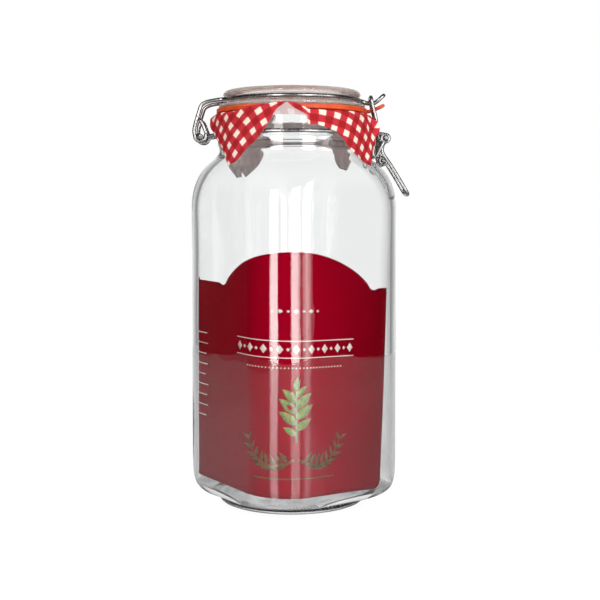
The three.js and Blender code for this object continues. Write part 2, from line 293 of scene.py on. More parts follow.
def jar_body():
    rings = [[(0, 0, BASE_RECESS)]]

    def round_ring(radius, z):
        rings.append(square_ring(radius, radius, z))

    def blend(radius, inset, curve, depth, seed):
        for share, z in curve:
            half = lerp(radius, BODY_HALF - inset, share)
            corner = lerp(radius, BODY_CORNER - inset, share)
            ring = [(x + BODY_SHIFT * share, y, z) for x, y, z in square_ring(half, corner, z)]
            rings.append(uneven(ring, depth, MOULD_WAVES, seed))

    for radius in (15, 28, BASE_RING - 8.8):
        round_ring(radius, BASE_RECESS)
    round_ring(BASE_RING - 8, 0.4)
    round_ring(BASE_RING - 7.2, 0)
    first = len(rings)
    for step in range(7):
        angle = math.radians(-90 + 15 * step)
        radius = BASE_RING - FOOT_ROUND * (1 - math.cos(angle))
        round_ring(radius, FOOT_ROUND * (1 + math.sin(angle)))
    round_ring(BASE_RING, 3.9)
    round_ring(BASE_RING - 0.25, BASE_RING_TOP)
    heel = bezier((0.3, BASE_RING_TOP + 0.4), (0.9, 5.6), (1, 10), (1, HEEL_TOP), 30)
    blend(BASE_RING, 0, heel, 0.1, 0)
    for ring in rings[first:]:
        depth = RIB_DEPTH * math.sin(math.pi * smoothstep(ring[0][2], RIB_FOOT, RIB_TOP)) ** 0.5
        for j, (x, y, z) in enumerate(ring):
            cut = depth * (0.5 - 0.5 * math.cos(TAU * RIBS * j / BODY_SIDES))
            reach = math.hypot(x, y)
            ring[j] = (x * (1 - cut / reach), y * (1 - cut / reach), z)
    upright = [(1, lerp(HEEL_TOP, SHOULDER_FOOT, i / 30)) for i in range(1, 30)]
    blend(BASE_RING, 0, upright, 0.1, 0)
    blend(NECK_WAIST, 0, bezier((1, SHOULDER_FOOT), (1, 210), (0, 211.8), (0, WAIST_Z), 30), 0.1, 0)
    neck = [(45.35, 219.4, 0), (45.8, 220.7, 0), (46.2, 222.2, 0), (46.2, 224, 0), (45.8, 225.7, 0),
            (45.4, 226.9, 0), (45.4, 229.9, 0), (46.1, 231, 0), (46.5, 232.4, 0), (46.5, 237.6, 0),
            (46.1, 239.2, 0), (45, RIM_Z, 0), (43.6, RIM_Z, 0), (42.3, 239.5, 0), (MOUTH, 237.9, 0)]
    for point in through(neck, 0.55):
        round_ring(point.x, point.y)
    inside = bezier((0, WAIST_Z - 1), (0, 210.5), (1, 208.5), (1, SHOULDER_FOOT - 1), 26)
    blend(MOUTH, WALL, inside, 0.3, 7)
    upright = [(1, lerp(SHOULDER_FOOT - 1, 15, i / 40)) for i in range(1, 40)]
    blend(MOUTH, WALL, upright, 0.3, 7)
    blend(MOUTH, WALL, bezier((1, 15), (1, 9.5), (0.9, 6.6), (0.6, FLOOR_TOP + 0.1), 16), 0.2, 7)
    for radius in (44, 36, 24, 12):
        ring = square_ring(radius, radius, FLOOR_TOP)
        rings.append([(x, y, z + 0.5 * (1 - radius / 48)) for x, y, z in ring])
    rings.append([(0, 0, FLOOR_TOP + 0.5)])
    return made("glass_body", [skin(rings)], "jar", ["jar_body"])


def lid_glass():
    top = LID_FLANGE_Z + 2.2
    under = [(0, LID_FLANGE_Z + 0.4), (16, LID_FLANGE_Z + 0.35), (32.4, LID_FLANGE_Z + 0.2)]
    rim = [(33.2, LID_FLANGE_Z + 0.1), (35.2, GASKET_Z + 0.35), (36.2, GASKET_Z), (38.2, GASKET_Z),
           (39.3, GASKET_Z + 0.4), (LID_BOSS, GASKET_Z + 1.2), (LID_BOSS, LID_FLANGE_Z - 0.4),
           (LID_BOSS + 0.4, LID_FLANGE_Z), (LID_FLANGE - 1, LID_FLANGE_Z),
           (LID_FLANGE - 0.2, LID_FLANGE_Z + 0.4), (LID_FLANGE, LID_FLANGE_Z + 1.1),
           (LID_FLANGE - 0.2, top - 0.4), (LID_FLANGE - 1, top), (LID_GROOVE + 1.6, top + 0.5),
           (LID_GROOVE + 0.3, 247.9), (LID_GROOVE, 249.3), (LID_GROOVE + 0.4, 250.8),
           (LID_RING - 0.9, 251.4), (LID_RING, 252.6), (LID_RING - 0.6, 254), (LID_RING - 2, 255),
           (LID_RING - 4, LID_TOP), (LID_RING - 6, 254.8), (LID_RING - 7.6, 253.2),
           (LID_RING - 9, 252), (LID_RING - 11, 251.6)]
    dish = [(24, 251.5), (12, 251.5), (0, 251.5)]
    line = [(p.x, p.y) for p in through([(r, z, 0) for r, z in rim], 0.5)]
    profile = [*under, *line, *dish]
    return made("glass_lid", [turned(profile)], "lid", ["lid_glass"])


# Gasket

def gasket():
    top = GASKET_Z + GASKET_THICK
    middle = GASKET_Z + GASKET_THICK / 2
    outline = [(GASKET_INNER, GASKET_Z + 0.3), (GASKET_INNER + 0.5, GASKET_Z), (43.5, GASKET_Z),
               (GASKET_OUTER - 0.8, GASKET_Z), (GASKET_OUTER - 0.15, GASKET_Z + 0.35),
               (GASKET_OUTER, GASKET_Z + 0.9), (GASKET_OUTER - 0.12, middle),
               (GASKET_OUTER, top - 0.9), (GASKET_OUTER - 0.15, top - 0.35),
               (GASKET_OUTER - 0.8, top), (43.5, top), (GASKET_INNER + 0.5, top),
               (GASKET_INNER, top - 0.3)]
    line = through([(r, z, 0) for r, z in outline], 0.4, closed=True)
    shells = [turned([(p.x, p.y) for p in line], closed=True)]
    route = through(TAB_ROUTE, 0.45)
    length = len(route) - 1
    sections = []
    for i, point in enumerate(route):
        ahead = route[min(i + 1, length)] - route[max(i - 1, 0)]
        normal = Vector((-ahead.z, 0, ahead.x)).normalized()
        to_end = (length - i) / length * TAB_LENGTH
        wide = TAB_HALF_WIDTH * math.sqrt(1 - (1 - min(to_end / TAB_ROUND, 1)) ** 2) + 0.05
        # Three low grip ridges cross the tab near its end.
        ridge = max(0, math.cos(TAU * (to_end - 2.2) / GRIP_PITCH))
        grip = GRIP_HEIGHT * ridge if 1.4 < to_end < 6 else 0
        thick = min(1, 0.4 + to_end) + grip
        section = []
        for k in range(20):
            angle = TAU * k / 20
            across = wide * math.copysign(abs(math.cos(angle)) ** 0.35, math.cos(angle))
            lift = thick * math.copysign(abs(math.sin(angle)) ** 0.6, math.sin(angle))
            section.append(tuple(point + normal * lift + Vector((0, across, 0))))
        sections.append(section)
    ends = [[tuple(route[0])], [tuple(route[-1])]]
    shells.append(skin([ends[0], *sections, ends[1]]))
    return made("rubber_gasket", shells, "lid", ["gasket"])


# Wires

def arc_along(centre, y, radius, start, end, steps):
    points = []
    for i in range(steps + 1):
        angle = math.radians(lerp(start, end, i / steps))
        points.append((centre[0] + radius * math.cos(angle), y, centre[1] + radius * math.sin(angle)))
    return points


def eye(at, y):
    return tube(arc_along(at, y, CLASP_EYE, 0, 345, 23), CLASP_WIRE, closed=True)


def pin(at, start, end):
    return tube([(at[0], start, at[1]), (at[0], end, at[1])], PIN)


def ring_route(radius, z, steps=48):
    return [(radius * math.cos(TAU * i / steps), radius * math.sin(TAU * i / steps), z)
            for i in range(steps)]


def neck_wire():
    shells = [tube(ring_route(*NECK_WIRE), WIRE, closed=True, spacing=1.6)]
    z = NECK_WIRE[1]
    for side in (-1, 1):
        y = side * HINGE_V_Y
        shells.append(tube([
            (-45.9, y, z), (-49, y, 227.4), (-51.4, y, 227.3), (-53, y, 229.6), (-55.6, y, 235.8),
            (-56.9, y, 237.1), (-57.9, y, 236), (-59.2, y, 230.4), (-58.8, y, 228),
            (HINGE[0], y, HINGE[1])], WIRE))
        y = side * BRACKET_Y
        shells.append(tube([
            (45.1, y, z), (50, y, z + 0.2), (54.4, y, z + 0.2),
            (LEVER_PIN[0], y, LEVER_PIN[1] + CLASP_EYE)], CLASP_WIRE))
        shells.append(eye(LEVER_PIN, y))
        shells.append(tube([
            (LEVER_PIN[0] - 1, y, LEVER_PIN[1] - CLASP_EYE), (54, y, 218.6), (51.5, y, 214.6),
            (50.3, y, 214.9), (49.5, y, 218.2), (46.6, y, 227.4)], CLASP_WIRE))
    end = LEG_Y + 2
    shells.append(tube([(HINGE[0], -end, HINGE[1]), (HINGE[0], end, HINGE[1])], WIRE))
    return made("wire_neck", shells, "jar", ["neck_wire"])


def lid_wire():
    radius, z = LID_WIRE

    def leg(y):
        return [*arc_along(HINGE, y, HINGE_EYE, 375, 180, 10),
                (HINGE[0] - 3.8, y, HINGE[1] + 3.2), (-56.7, y, 242.3), (-55.4, y, 245.6),
                (-53, y, 247.3), (-46, y, z - 0.4), (-42.2, y * 1.03, z)]

    nose = [(radius + 0.6, z), (45, z - 0.8), (47, 248), (50.8, 248), (52.6, 248.9), (56.4, 252.2)]

    def half(side):
        points = leg(side * LEG_Y)
        for turn in range(158, 11, -9):
            angle = math.radians(turn)
            points.append((radius * math.cos(angle), side * radius * math.sin(angle), z))
        points.append((radius, side * 5, z))
        for i, (x, height) in enumerate(nose):
            points.append((x, side * (3.2 if i == 0 else NOSE_Y), height))
        return points

    route = [*half(-1), (57.2, 0, 252.9), *reversed(half(1))]
    return made("wire_lid", [tube(route, WIRE)], "lid", ["lid_wire"])


def bail():
    x, z = BAIL_BAR

    def side(y):
        return [(x, y * 0.8, z), (x + 0.3, y, z - 1.4), (50, y, 245.8), (51.9, y, 238.4),
                (52.9, y, 230), (53.2, y, 221), (53.1, y, 215.4), (54.2, y, 212.7),
                (BAIL_PIN[0], y, BAIL_PIN[1])]

    route = [*reversed(side(-BAIL_Y)), (x, 0, z), *side(BAIL_Y)]
    shells = [tube(route, CLASP_WIRE + 0.15)]
    for s in (-1, 1):
        shells.append(pin(BAIL_PIN, s * (BAIL_Y - 0.6), s * (LEVER_Y + 1.4)))
    return made("wire_bail", shells, "bail", ["bail"])


def lever():
    def side(y):
        return [(LEVER_PIN[0], y, LEVER_PIN[1]), (55.4, y, 218.6), (56.3, y, 216), (60.6, y, 209.6),
                (65.6, y, 201.6), (70.2, y, 193.8), (71.3, y * 0.9, 192)]

    bend = (71.8, LEVER_Y * 0.6, 191.2)
    route = [*side(-LEVER_Y), (bend[0], -bend[1], bend[2]), (bend[0], 0, bend[2]), bend,
             *reversed(side(LEVER_Y))]
    shells = [tube(route, WIRE)]
    for s in (-1, 1):
        shells.append(pin(LEVER_PIN, s * (LEVER_Y - 0.6), s * (BRACKET_Y + 1.8)))
        shells.append(eye(BAIL_PIN, s * LEVER_Y))
    return made("wire_lever", shells, "lever", ["lever"])


# Cloth

CLOTH_CORNERS = (-136.5, -27, 45, 133)  # the directions in which the cloth's corners hang
THREAD_CORNERS = (-135, -47.5, 45, 135)  # where the same corners lie on the flat cloth
CLOTH_BEND = 46.4  # the radius at which it turns down
CLOTH_OUT = 48.75  # the radius at which it hangs
CLOTH_THICK = 0.36
CLOTH_Z = RIM_Z + GAP + CLOTH / 2
CLOTH_SAG = 0.9  # how far it sinks in the mouth
CLOTH_RINGS = (6, 14, 22, 30, 33, 36, 39, 42, 44)
# The cut edge's height by direction, one run for each side of the cloth
CLOTH_HEM = (
    ((-136.5, 207.8), (-129, 211), (-121.4, 218.5), (-116, 221.8), (-111, 226.5), (-105.3, 233.5),
     (-102.5, 237), (-93, 237.4), (-81, 237), (-79.9, 236.4), (-79.1, 231.8), (-73.3, 231.7),
     (-65.8, 229.8), (-58.6, 227.6), (-54.4, 224.1), (-49.8, 218.9), (-45, 215.4), (-37.8, 211.9),
     (-27, 208)),
    ((-27, 208), (-24, 215), (-19.5, 223.5), (-17.5, 229), (-16.4, 235), (-14, 237.6), (0, 237.8),
     (14, 237.6), (19, 233), (27, 226), (36, 218), (45, 209)),
    ((45, 209), (53, 211.5), (59, 218), (64, 228), (69, 235.5), (76, 237.4), (90, 237.6),
     (100, 237), (106, 230), (111, 219), (117, 212), (126, 207), (133, 204)),
    ((133, 204), (143, 212), (155, 223), (165, 232.5), (170, 236.8), (180, 237.8), (190, 236.6),
     (195, 232.5), (202, 227), (210, 222), (216, 217.5), (223.5, 207.8)))
# How high the fold stands in front of the gasket, by direction
CLOTH_FOLD = ((-150, 0), (-138, 0.1), (-130, 0.8), (-121, 2.2), (-112, 3.1), (-104, 3.8), (-95, 4.4),
              (-89, 3.8), (-84, 2.4), (-79, 0.6), (-74, 0), (-60, 0))
# How far the hanging cloth leans out, in degrees, by direction
CLOTH_FLARE = ((-180, 12), (-172, 34), (-166, 24), (-160, 10), (-150, 7), (-136, 7.5), (-60, 8.5),
               (-30, 9), (-22, 14), (-18.5, 22), (-16.5, 48), (-13, 20), (0, 10), (16, 12), (45, 8.5),
               (133, 8.5), (160, 10), (180, 12))
FOLD_CREST = 48.2  # the radius at which the fold stands highest
TURNED_BACK = 0.8  # the reverse attribute on the front's turned back hem, which is 1 on the underside
# Where the front's turned back hem shows its pale reverse, as (direction, height)
PALE_EDGE = ((-103, 237), (-101, 240.4), (-94.2, 244.6), (-93.2, 244.6), (-89.3, 241.6),
             (-84.5, 239.3), (-79.4, 237))


def along_line(line, place):
    """The height of a line of (place, height) points at a place."""
    for (x0, y0), (x1, y1) in zip(line, line[1:]):
        if x0 <= place <= x1:
            return lerp(y0, y1, (place - x0) / (x1 - x0))
    return line[0][1] if place < line[0][0] else line[-1][1]


def smoothed(line):
    return [(p.x, p.y) for p in through([(x, y, 0) for x, y in line], 0.6)]


HEM_LINES = [smoothed(side) for side in CLOTH_HEM]
FOLD_LINE = smoothed(CLOTH_FOLD)


def cloth_side(deg):
    """The side of the cloth that a direction meets, and the share of the way along it."""
    for side in range(4):
        start, end = CLOTH_CORNERS[side], CLOTH_CORNERS[(side + 1) % 4]
        span = (end - start) % 360
        into = (deg - start) % 360
        if into < span:
            return side, into / span
    return 3, 1.0


def hem_height(deg):
    side, share = cloth_side(deg)
    line = HEM_LINES[side]
    edge = along_line(line, lerp(line[0][0], line[-1][0], share))
    return edge + 0.2 * noise.noise(Vector((deg / 3, 0, 9)))


def cloth_section(deg, steps):
    """Places on the cloth from the middle to the hem: distance along it, radius, height and normal."""
    front = (deg + 180) % 360 - 180
    flare = math.tan(math.radians(along_line(CLOTH_FLARE, front)))
    drop = CLOTH_Z - hem_height(deg)
    fold = along_line(FOLD_LINE, front)
    flat = 1 - smoothstep(fold, 0, 1.2)

    def out(down):
        """The radius of the hanging cloth, with its folds, at a distance below the rim."""
        lean = down * flare * (1 - 0.3 * smoothstep(down, 4, 28))
        wave = 0.55 * math.sin(math.radians(front * 7)) + 0.35 * math.sin(math.radians(front * 13))
        ripple = noise.noise(Vector((front / 9, down / 11, 3))) * 0.6
        return CLOTH_OUT + lean + (wave + ripple) * smoothstep(down, 1.5, 16)

    curl = min(3, 0.6 * drop)
    route = [(CLOTH_BEND - 0.8, CLOTH_Z), (CLOTH_BEND, CLOTH_Z),
             (47.45, CLOTH_Z + 0.15 * fold - 0.2 * flat), (47.75, CLOTH_Z + 0.75 * fold - 0.5 * flat),
             (FOLD_CREST, CLOTH_Z + fold - 0.9 * flat), (48.6, CLOTH_Z + 0.7 * fold - 0.5 * curl * flat),
             (out(curl), CLOTH_Z - curl)]
    for share in (0.2, 0.4, 0.6, 0.8, 1):
        down = lerp(curl, drop, share)
        route.append((out(down), CLOTH_Z - down))
    line = through([(r, z, 0) for r, z in route], 0.5)
    far = [0.0]
    for before, after in zip(line, line[1:]):
        far.append(far[-1] + (after - before).length)
    section = [(r, r, CLOTH_Z - CLOTH_SAG * (1 - smoothstep(r, 30, 40)), 0.0, 1.0) for r in CLOTH_RINGS]
    for i in range(steps + 1):
        goal = far[-1] * i / steps
        k = next(k for k in range(1, len(far)) if far[k] >= goal - 1e-9)
        point = line[k - 1].lerp(line[k], (goal - far[k - 1]) / (far[k] - far[k - 1]))
        way = (line[k] - line[k - 1]).normalized()
        section.append((CLOTH_BEND - 0.8 + goal, point.x, point.y, -way.y, way.x))
    return section


def flat_place(deg, along):
    """The same point on the flat cloth, whose threads run along its own two axes."""
    side, share = cloth_side(deg)
    start, end = THREAD_CORNERS[side], THREAD_CORNERS[(side + 1) % 4]
    angle = math.radians(start + (end - start) % 360 * share)
    return (along * math.cos(angle), along * math.sin(angle))


def cloth():
    sides, steps = 600, 44
    degs = [CLOTH_CORNERS[0] + i * 360 / sides for i in range(sides)]
    sections = [cloth_section(deg, steps) for deg in degs]
    count = len(sections[0])
    half = CLOTH_THICK / 2
    rings, flat, reverse = [[(0, 0, CLOTH_Z - CLOTH_SAG - half)]], [(0, 0)], [1.0]
    for lift, order in ((-half, range(count)), (half, range(count - 1, -1, -1))):
        for k in order:
            ring = []
            for deg, section in zip(degs, sections):
                along, radius, z, out, up = section[k]
                radius, z = radius + out * lift, z + up * lift
                angle = math.radians(deg)
                ring.append((radius * math.cos(angle), radius * math.sin(angle), z))
                flat.append(flat_place(deg, along))
                turned_back = (PALE_EDGE[0][0] < deg < PALE_EDGE[-1][0] and radius > FOLD_CREST
                               and z < along_line(PALE_EDGE, deg))
                reverse.append(1.0 if lift < 0 else TURNED_BACK * turned_back)
            rings.append(ring)
    rings.append([(0, 0, CLOTH_Z - CLOTH_SAG + half)])
    flat.append((0, 0))
    reverse.append(0.0)
    piece = made("gingham_cover", [skin(rings)], "jar", ["cloth"])
    threads = piece.data.uv_layers.new(name="threads")
    for loop in piece.data.loops:
        threads.data[loop.index].uv = [c * MM for c in flat[loop.vertex_index]]
    back = piece.data.attributes.new("reverse", "FLOAT", "POINT")
    back.data.foreach_set("value", reverse)
    return piece


# Label

LABEL_FROM, LABEL_TO = -91, 79  # along the wall from the front corner
LABEL_BOTTOM = 14.2
LABEL_SHOULDER = 136.4
LABEL_ARCH = 21.4
ARCH_MIDDLE, ARCH_HALF = 11, 53.5
LABEL_CLEAR = 0.8
LABEL_TUCK = 7  # how much narrower the card is at its lower right end
TUCK_FROM = 40
LABEL_ROUND = 5
LABEL_THICK = 0.35
LABEL_TILT = math.tan(math.radians(1.7))


def wall_point(along, inset):
    """The place on the label's face at a distance round the wall from the front corner."""
    half = BODY_HALF - WALL - LABEL_CLEAR
    corner = BODY_CORNER - WALL - LABEL_CLEAR
    arc = corner * math.pi / 2
    whole = 2 * (half - corner) + arc
    place = along + arc / 2 + 2 * whole
    quarter = math.floor(place / whole)
    into = place - quarter * whole
    turn = min(into, arc) / arc * math.pi / 2
    start = Vector(((corner - inset) * math.cos(turn), (corner - inset) * math.sin(turn)))
    start += Vector((half - corner - max(into - arc, 0), half - corner))
    yaw = BODY_YAW + quarter * math.pi / 2
    return (start.x * math.cos(yaw) - start.y * math.sin(yaw) + BODY_SHIFT,
            start.x * math.sin(yaw) + start.y * math.cos(yaw))


def card_point(along, height, inset):
    tuck = LABEL_TUCK * (1 - height / LABEL_SHOULDER) * smoothstep(along, TUCK_FROM, LABEL_TO)
    x, y = wall_point(along - tuck, inset)
    return (x, y, height - LABEL_TILT * along)


def card_top(along):
    across = abs(along - ARCH_MIDDLE) / ARCH_HALF
    arch = LABEL_ARCH * max(1 - across ** 2, 0) ** 0.8
    # A small hollow where the arch leaves the shoulder.
    return LABEL_SHOULDER + arch - 1.2 * math.exp(-((across - 1.06) / 0.05) ** 2)


def card_bottom(along):
    rise = 0
    for reach in (along - LABEL_FROM, LABEL_TO - along):
        rise += LABEL_ROUND * (1 - math.sqrt(1 - max(0, 1 - reach / LABEL_ROUND) ** 2))
    return LABEL_BOTTOM + rise


def label_card():
    steps, rows = 220, 40
    sections, flat = [], []
    for i in range(steps + 1):
        along = lerp(LABEL_FROM, LABEL_TO, i / steps)
        low, high = card_bottom(along), card_top(along)
        heights = [lerp(low, high, k / rows) for k in range(rows + 1)]
        front = [card_point(along, h, 0) for h in heights]
        back = [card_point(along, h, LABEL_THICK) for h in reversed(heights)]
        sections.append([*back, *front])
        flat.extend([(along, h) for h in (*reversed(heights), *heights)])

    def middle(section):
        return [tuple(sum(p[k] for p in section) / len(section) for k in range(3))]

    shell = skin([middle(sections[0]), *sections, middle(sections[-1])])
    piece = made("card_label", [shell], "jar", ["label_card"])
    places = [(LABEL_FROM, LABEL_BOTTOM), *flat, (LABEL_TO, LABEL_BOTTOM)]
    printed = piece.data.uv_layers.new(name="print")
    for loop in piece.data.loops:
        printed.data[loop.index].uv = [c * MM for c in places[loop.vertex_index]]
    return piece


PRINT_PROUD = 0.07


def ribbon(path, widths):
    """A thin printed stroke on the card's face, from a line of (along, height) and half widths."""
    sections = []
    for i, (a, h) in enumerate(path):
        before, after = path[max(i - 1, 0)], path[min(i + 1, len(path) - 1)]
        along, up = after[0] - before[0], after[1] - before[1]
        size = math.hypot(along, up) or 1
        across = (-up / size * widths[i], along / size * widths[i])
        left, right = (a + across[0], h + across[1]), (a - across[0], h - across[1])
        sections.append([card_point(*left, -PRINT_PROUD), card_point(*left, -0.01),
                         card_point(*right, -0.01), card_point(*right, -PRINT_PROUD)])
    first, last = path[0], path[-1]
    ends = [[card_point(*first, -0.04)], [card_point(*last, -0.04)]]
    return skin([ends[0], *sections, ends[1]])


def stroke(start, end, width, steps=12):
    """A straight printed rule."""
    path = [(lerp(start[0], end[0], i / steps), lerp(start[1], end[1], i / steps))
            for i in range(steps + 1)]
    return ribbon(path, [width / 2] * (steps + 1))


def lozenge(middle, along, up, steps=8):
    path = [(middle[0] + along * (i / steps - 0.5), middle[1]) for i in range(steps + 1)]
    widths = [up / 2 * (1 - abs(2 * i / steps - 1)) + 0.02 for i in range(steps + 1)]
    return ribbon(path, widths)


def leaf(root, angle, length, width, bend=0.25, steps=14):
    """A pointed leaf that leaves its root at an angle from straight up, and bows over."""
    path, widths = [], []
    heading = math.radians(angle)
    a, h = root
    for i in range(steps + 1):
        share = i / steps
        path.append((a, h))
        widths.append(width / 2 * math.sin(math.pi * share ** 0.8) + 0.03)
        turn = heading + bend * share * math.copysign(1, heading or 1)
        a += math.sin(turn) * length / steps
        h += math.cos(turn) * length / steps
    return ribbon(path, widths)


SIDE_MIDDLE = -70  # where the short strokes stand on the label's left face
SIDE_STROKES = (13, 15, 11, 14, 9, 15, 12, 14, 10)


def label_print():
    """Generic ornaments in the label's printed places: rules, lozenges, a sprig and laurels."""
    middle = ARCH_MIDDLE
    cream = []
    for k in range(-3, 4):
        size = 2.6 if k % 2 == 0 else 1.5
        cream.append(lozenge((middle + 4.6 * k, 123.5), size * 1.25, size))
    for z in (106.2, 96.4):
        cream.append(stroke((middle - 41, z), (middle + 41, z), 0.55, 40))
    for k in range(-8, 9):
        big = k % 2 == 0
        cream.append(lozenge((middle + 4.75 * k, 101.3), 4.4 if big else 2.2, 5.4 if big else 2.2))
    for k in range(-14, 15):
        cream.append(lozenge((middle + 2.2 * k, 90.5), 1.1, 1.1, 4))
    for k, reach in enumerate(SIDE_STROKES):
        z = 104 - 6.4 * k
        cream.append(stroke((SIDE_MIDDLE + reach / 2, z), (SIDE_MIDDLE - reach / 2, z), 0.6))
    made("print_cream", cream, "jar")
    green = [ribbon([(middle, 47 + 2 * i) for i in range(16)], [0.55 - 0.02 * i for i in range(16)])]
    for k in range(8):
        side = 1 if k % 2 else -1
        size = 13.5 - 0.35 * (k - 3.5) ** 2
        green.append(leaf((middle, 51 + 3.2 * k), side * (50 - 2 * k), size, size * 0.42))
    green.append(leaf((middle, 76.5), 0.01, 9, 3.6))
    made("print_green", green, "jar")
    olive = []
    for side in (-1, 1):
        stem = bezier((middle + side * 1.5, 37), (middle + side * 10, 30), (middle + side * 24, 31),
                      (middle + side * 30, 47), 24)
        olive.append(ribbon(stem, [0.9 - 0.025 * i for i in range(25)]))
        for k in range(3, 25, 3):
            a, h = stem[k]
            size = 10 - 0.16 * k
            heading = 78 - 2.6 * k
            olive.append(leaf((a, h), side * (heading + 42), size, size * 0.34))
            olive.append(leaf((a, h), side * (heading - 40), size * 0.9, size * 0.3))
    olive.append(stroke((middle - 26, 25.6), (middle + 26, 25.6), 0.8, 24))
    made("print_olive", olive, "jar")


# Materials

class Shader:
    """A material's node tree with short calls for making and joining nodes."""

    def __init__(self, name):
        self.material = bpy.data.materials.new(name)
        self.material.use_nodes = True
        self.nodes = self.material.node_tree.nodes
        self.links = self.material.node_tree.links
        self.surface = self.nodes["Principled BSDF"]

    def put(self, name, value):
        self.surface.inputs[name].default_value = value

    def join(self, source, node, name):
        self.links.new(source, node.inputs[name])

    def add(self, kind, **values):
        node = self.nodes.new("ShaderNode" + kind)
        for name, value in values.items():
            setattr(node, name, value)
        return node

    def place(self, scale=(1, 1, 1), uv=None):
        """Coordinates in metres, times a scale, of the piece itself or from one of its UV maps."""
        if uv:
            spot = self.add("UVMap", uv_map=uv).outputs["UV"]
        else:
            spot = self.add("TexCoord").outputs["Object"]
        mapping = self.add("Mapping")
        mapping.inputs["Scale"].default_value = scale
        self.links.new(spot, mapping.inputs["Vector"])
        return mapping.outputs["Vector"]

    def noise(self, place, scale, detail=3, rough=0.5):
        node = self.add("TexNoise")
        node.inputs["Scale"].default_value = scale
        node.inputs["Detail"].default_value = detail
        node.inputs["Roughness"].default_value = rough
        self.links.new(place, node.inputs["Vector"])
        return node.outputs["Fac"]

    def math(self, how, a, b=None, clamp=False):
        node = self.add("Math", operation=how, use_clamp=clamp)
        for i, value in enumerate((a, b)):
            if value is None:
                continue
            if isinstance(value, (int, float)):
                node.inputs[i].default_value = value
            else:
                self.links.new(value, node.inputs[i])
        return node.outputs[0]

    def spread(self, value, low, high, start=0.0, end=1.0):
        """The value from low to high, spread over start to end."""
        node = self.add("MapRange")
        for name, number in (("From Min", low), ("From Max", high), ("To Min", start), ("To Max", end)):
            node.inputs[name].default_value = number
        self.links.new(value, node.inputs["Value"])
        return node.outputs["Result"]

    def mix(self, share, a, b):
        node = self.add("Mix", data_type="RGBA")
        for socket, value in ((node.inputs[0], share), (node.inputs[6], a), (node.inputs[7], b)):
            if isinstance(value, (int, float, tuple)):
                socket.default_value = value
            else:
                self.links.new(value, socket)
        return node.outputs[2]

    def bump(self, height, strength, distance):
        node = self.add("Bump")
        node.inputs["Strength"].default_value = strength
        node.inputs["Distance"].default_value = distance
        self.links.new(height, node.inputs["Height"])
        self.links.new(node.outputs["Normal"], self.surface.inputs["Normal"])

    def blend(self, other, share):
        """Put a share of another shader over the surface."""
        both = self.add("MixShader")
        if isinstance(share, float):
            both.inputs[0].default_value = share
        else:
            self.links.new(share, both.inputs[0])
        self.links.new(self.surface.outputs[0], both.inputs[1])
        self.links.new(other.outputs[0], both.inputs[2])
        self.links.new(both.outputs[0], self.nodes["Material Output"].inputs["Surface"])

    def paint(self, *pieces):
        for piece in pieces:
            piece.data.materials.clear()
            piece.data.materials.append(self.material)


def glass(name, tint, rough, waves, haze=0.0):
    """Glass with a faint film on it, the soft waves of its mould and a share of milky haze."""
    s = Shader(name)
    s.put("Transmission Weight", 1.0)
    s.put("IOR", 1.5)
    s.put("Specular IOR Level", 0.5)
    s.put("Base Color", tint)
    film = s.noise(s.place(), 60, 4, 0.6)
    s.join(s.spread(film, 0.45, 0.8, *rough), s.surface, "Roughness")
    s.bump(s.noise(s.place((1, 1, 0.5)), 38, 2, 0.4), waves, 0.0012)
    if haze:
        milk = s.add("BsdfDiffuse")
        s.join(s.mix(s.spread(film, 0.4, 0.7), linear(216, 200, 192), linear(200, 182, 174)), milk, "Color")
        s.blend(milk, haze)
    return s


def orange_rubber():
    s = Shader("orange_rubber")
    place = s.place()
    tone = s.noise(place, 90, 4, 0.6)
    low, high = linear(176, 50, 10), linear(214, 84, 24)
    s.join(s.mix(s.spread(tone, 0.35, 0.7), low, high), s.surface, "Base Color")
    s.join(s.spread(s.noise(place, 400, 2), 0.3, 0.7, 0.42, 0.6), s.surface, "Roughness")
    s.put("Subsurface Weight", 0.15)
    s.put("Subsurface Radius", (0.002, 0.0008, 0.0003))
    s.put("Subsurface Scale", 1.0)
    s.put("Specular IOR Level", 0.4)
    s.bump(s.noise(place, 900, 3, 0.6), 0.25, 0.0002)
    return s


def drawn_steel():
    s = Shader("drawn_steel")
    place = s.place()
    marks = s.noise(s.place((1, 1, 0.15)), 900, 4, 0.7)
    tone = s.noise(place, 120, 3)
    low, high = (0.2, 0.198, 0.195, 1), (0.36, 0.355, 0.35, 1)
    s.join(s.mix(s.spread(tone, 0.3, 0.65), low, high), s.surface, "Base Color")
    s.put("Metallic", 1.0)
    s.join(s.spread(marks, 0.35, 0.7, 0.2, 0.38), s.surface, "Roughness")
    s.bump(marks, 0.18, 0.0001)
    return s


CHECK_PITCH = 0.0081
CHECK_WHITE = 0.455  # the white band's share of the pitch
THREAD_PITCH = 0.00042


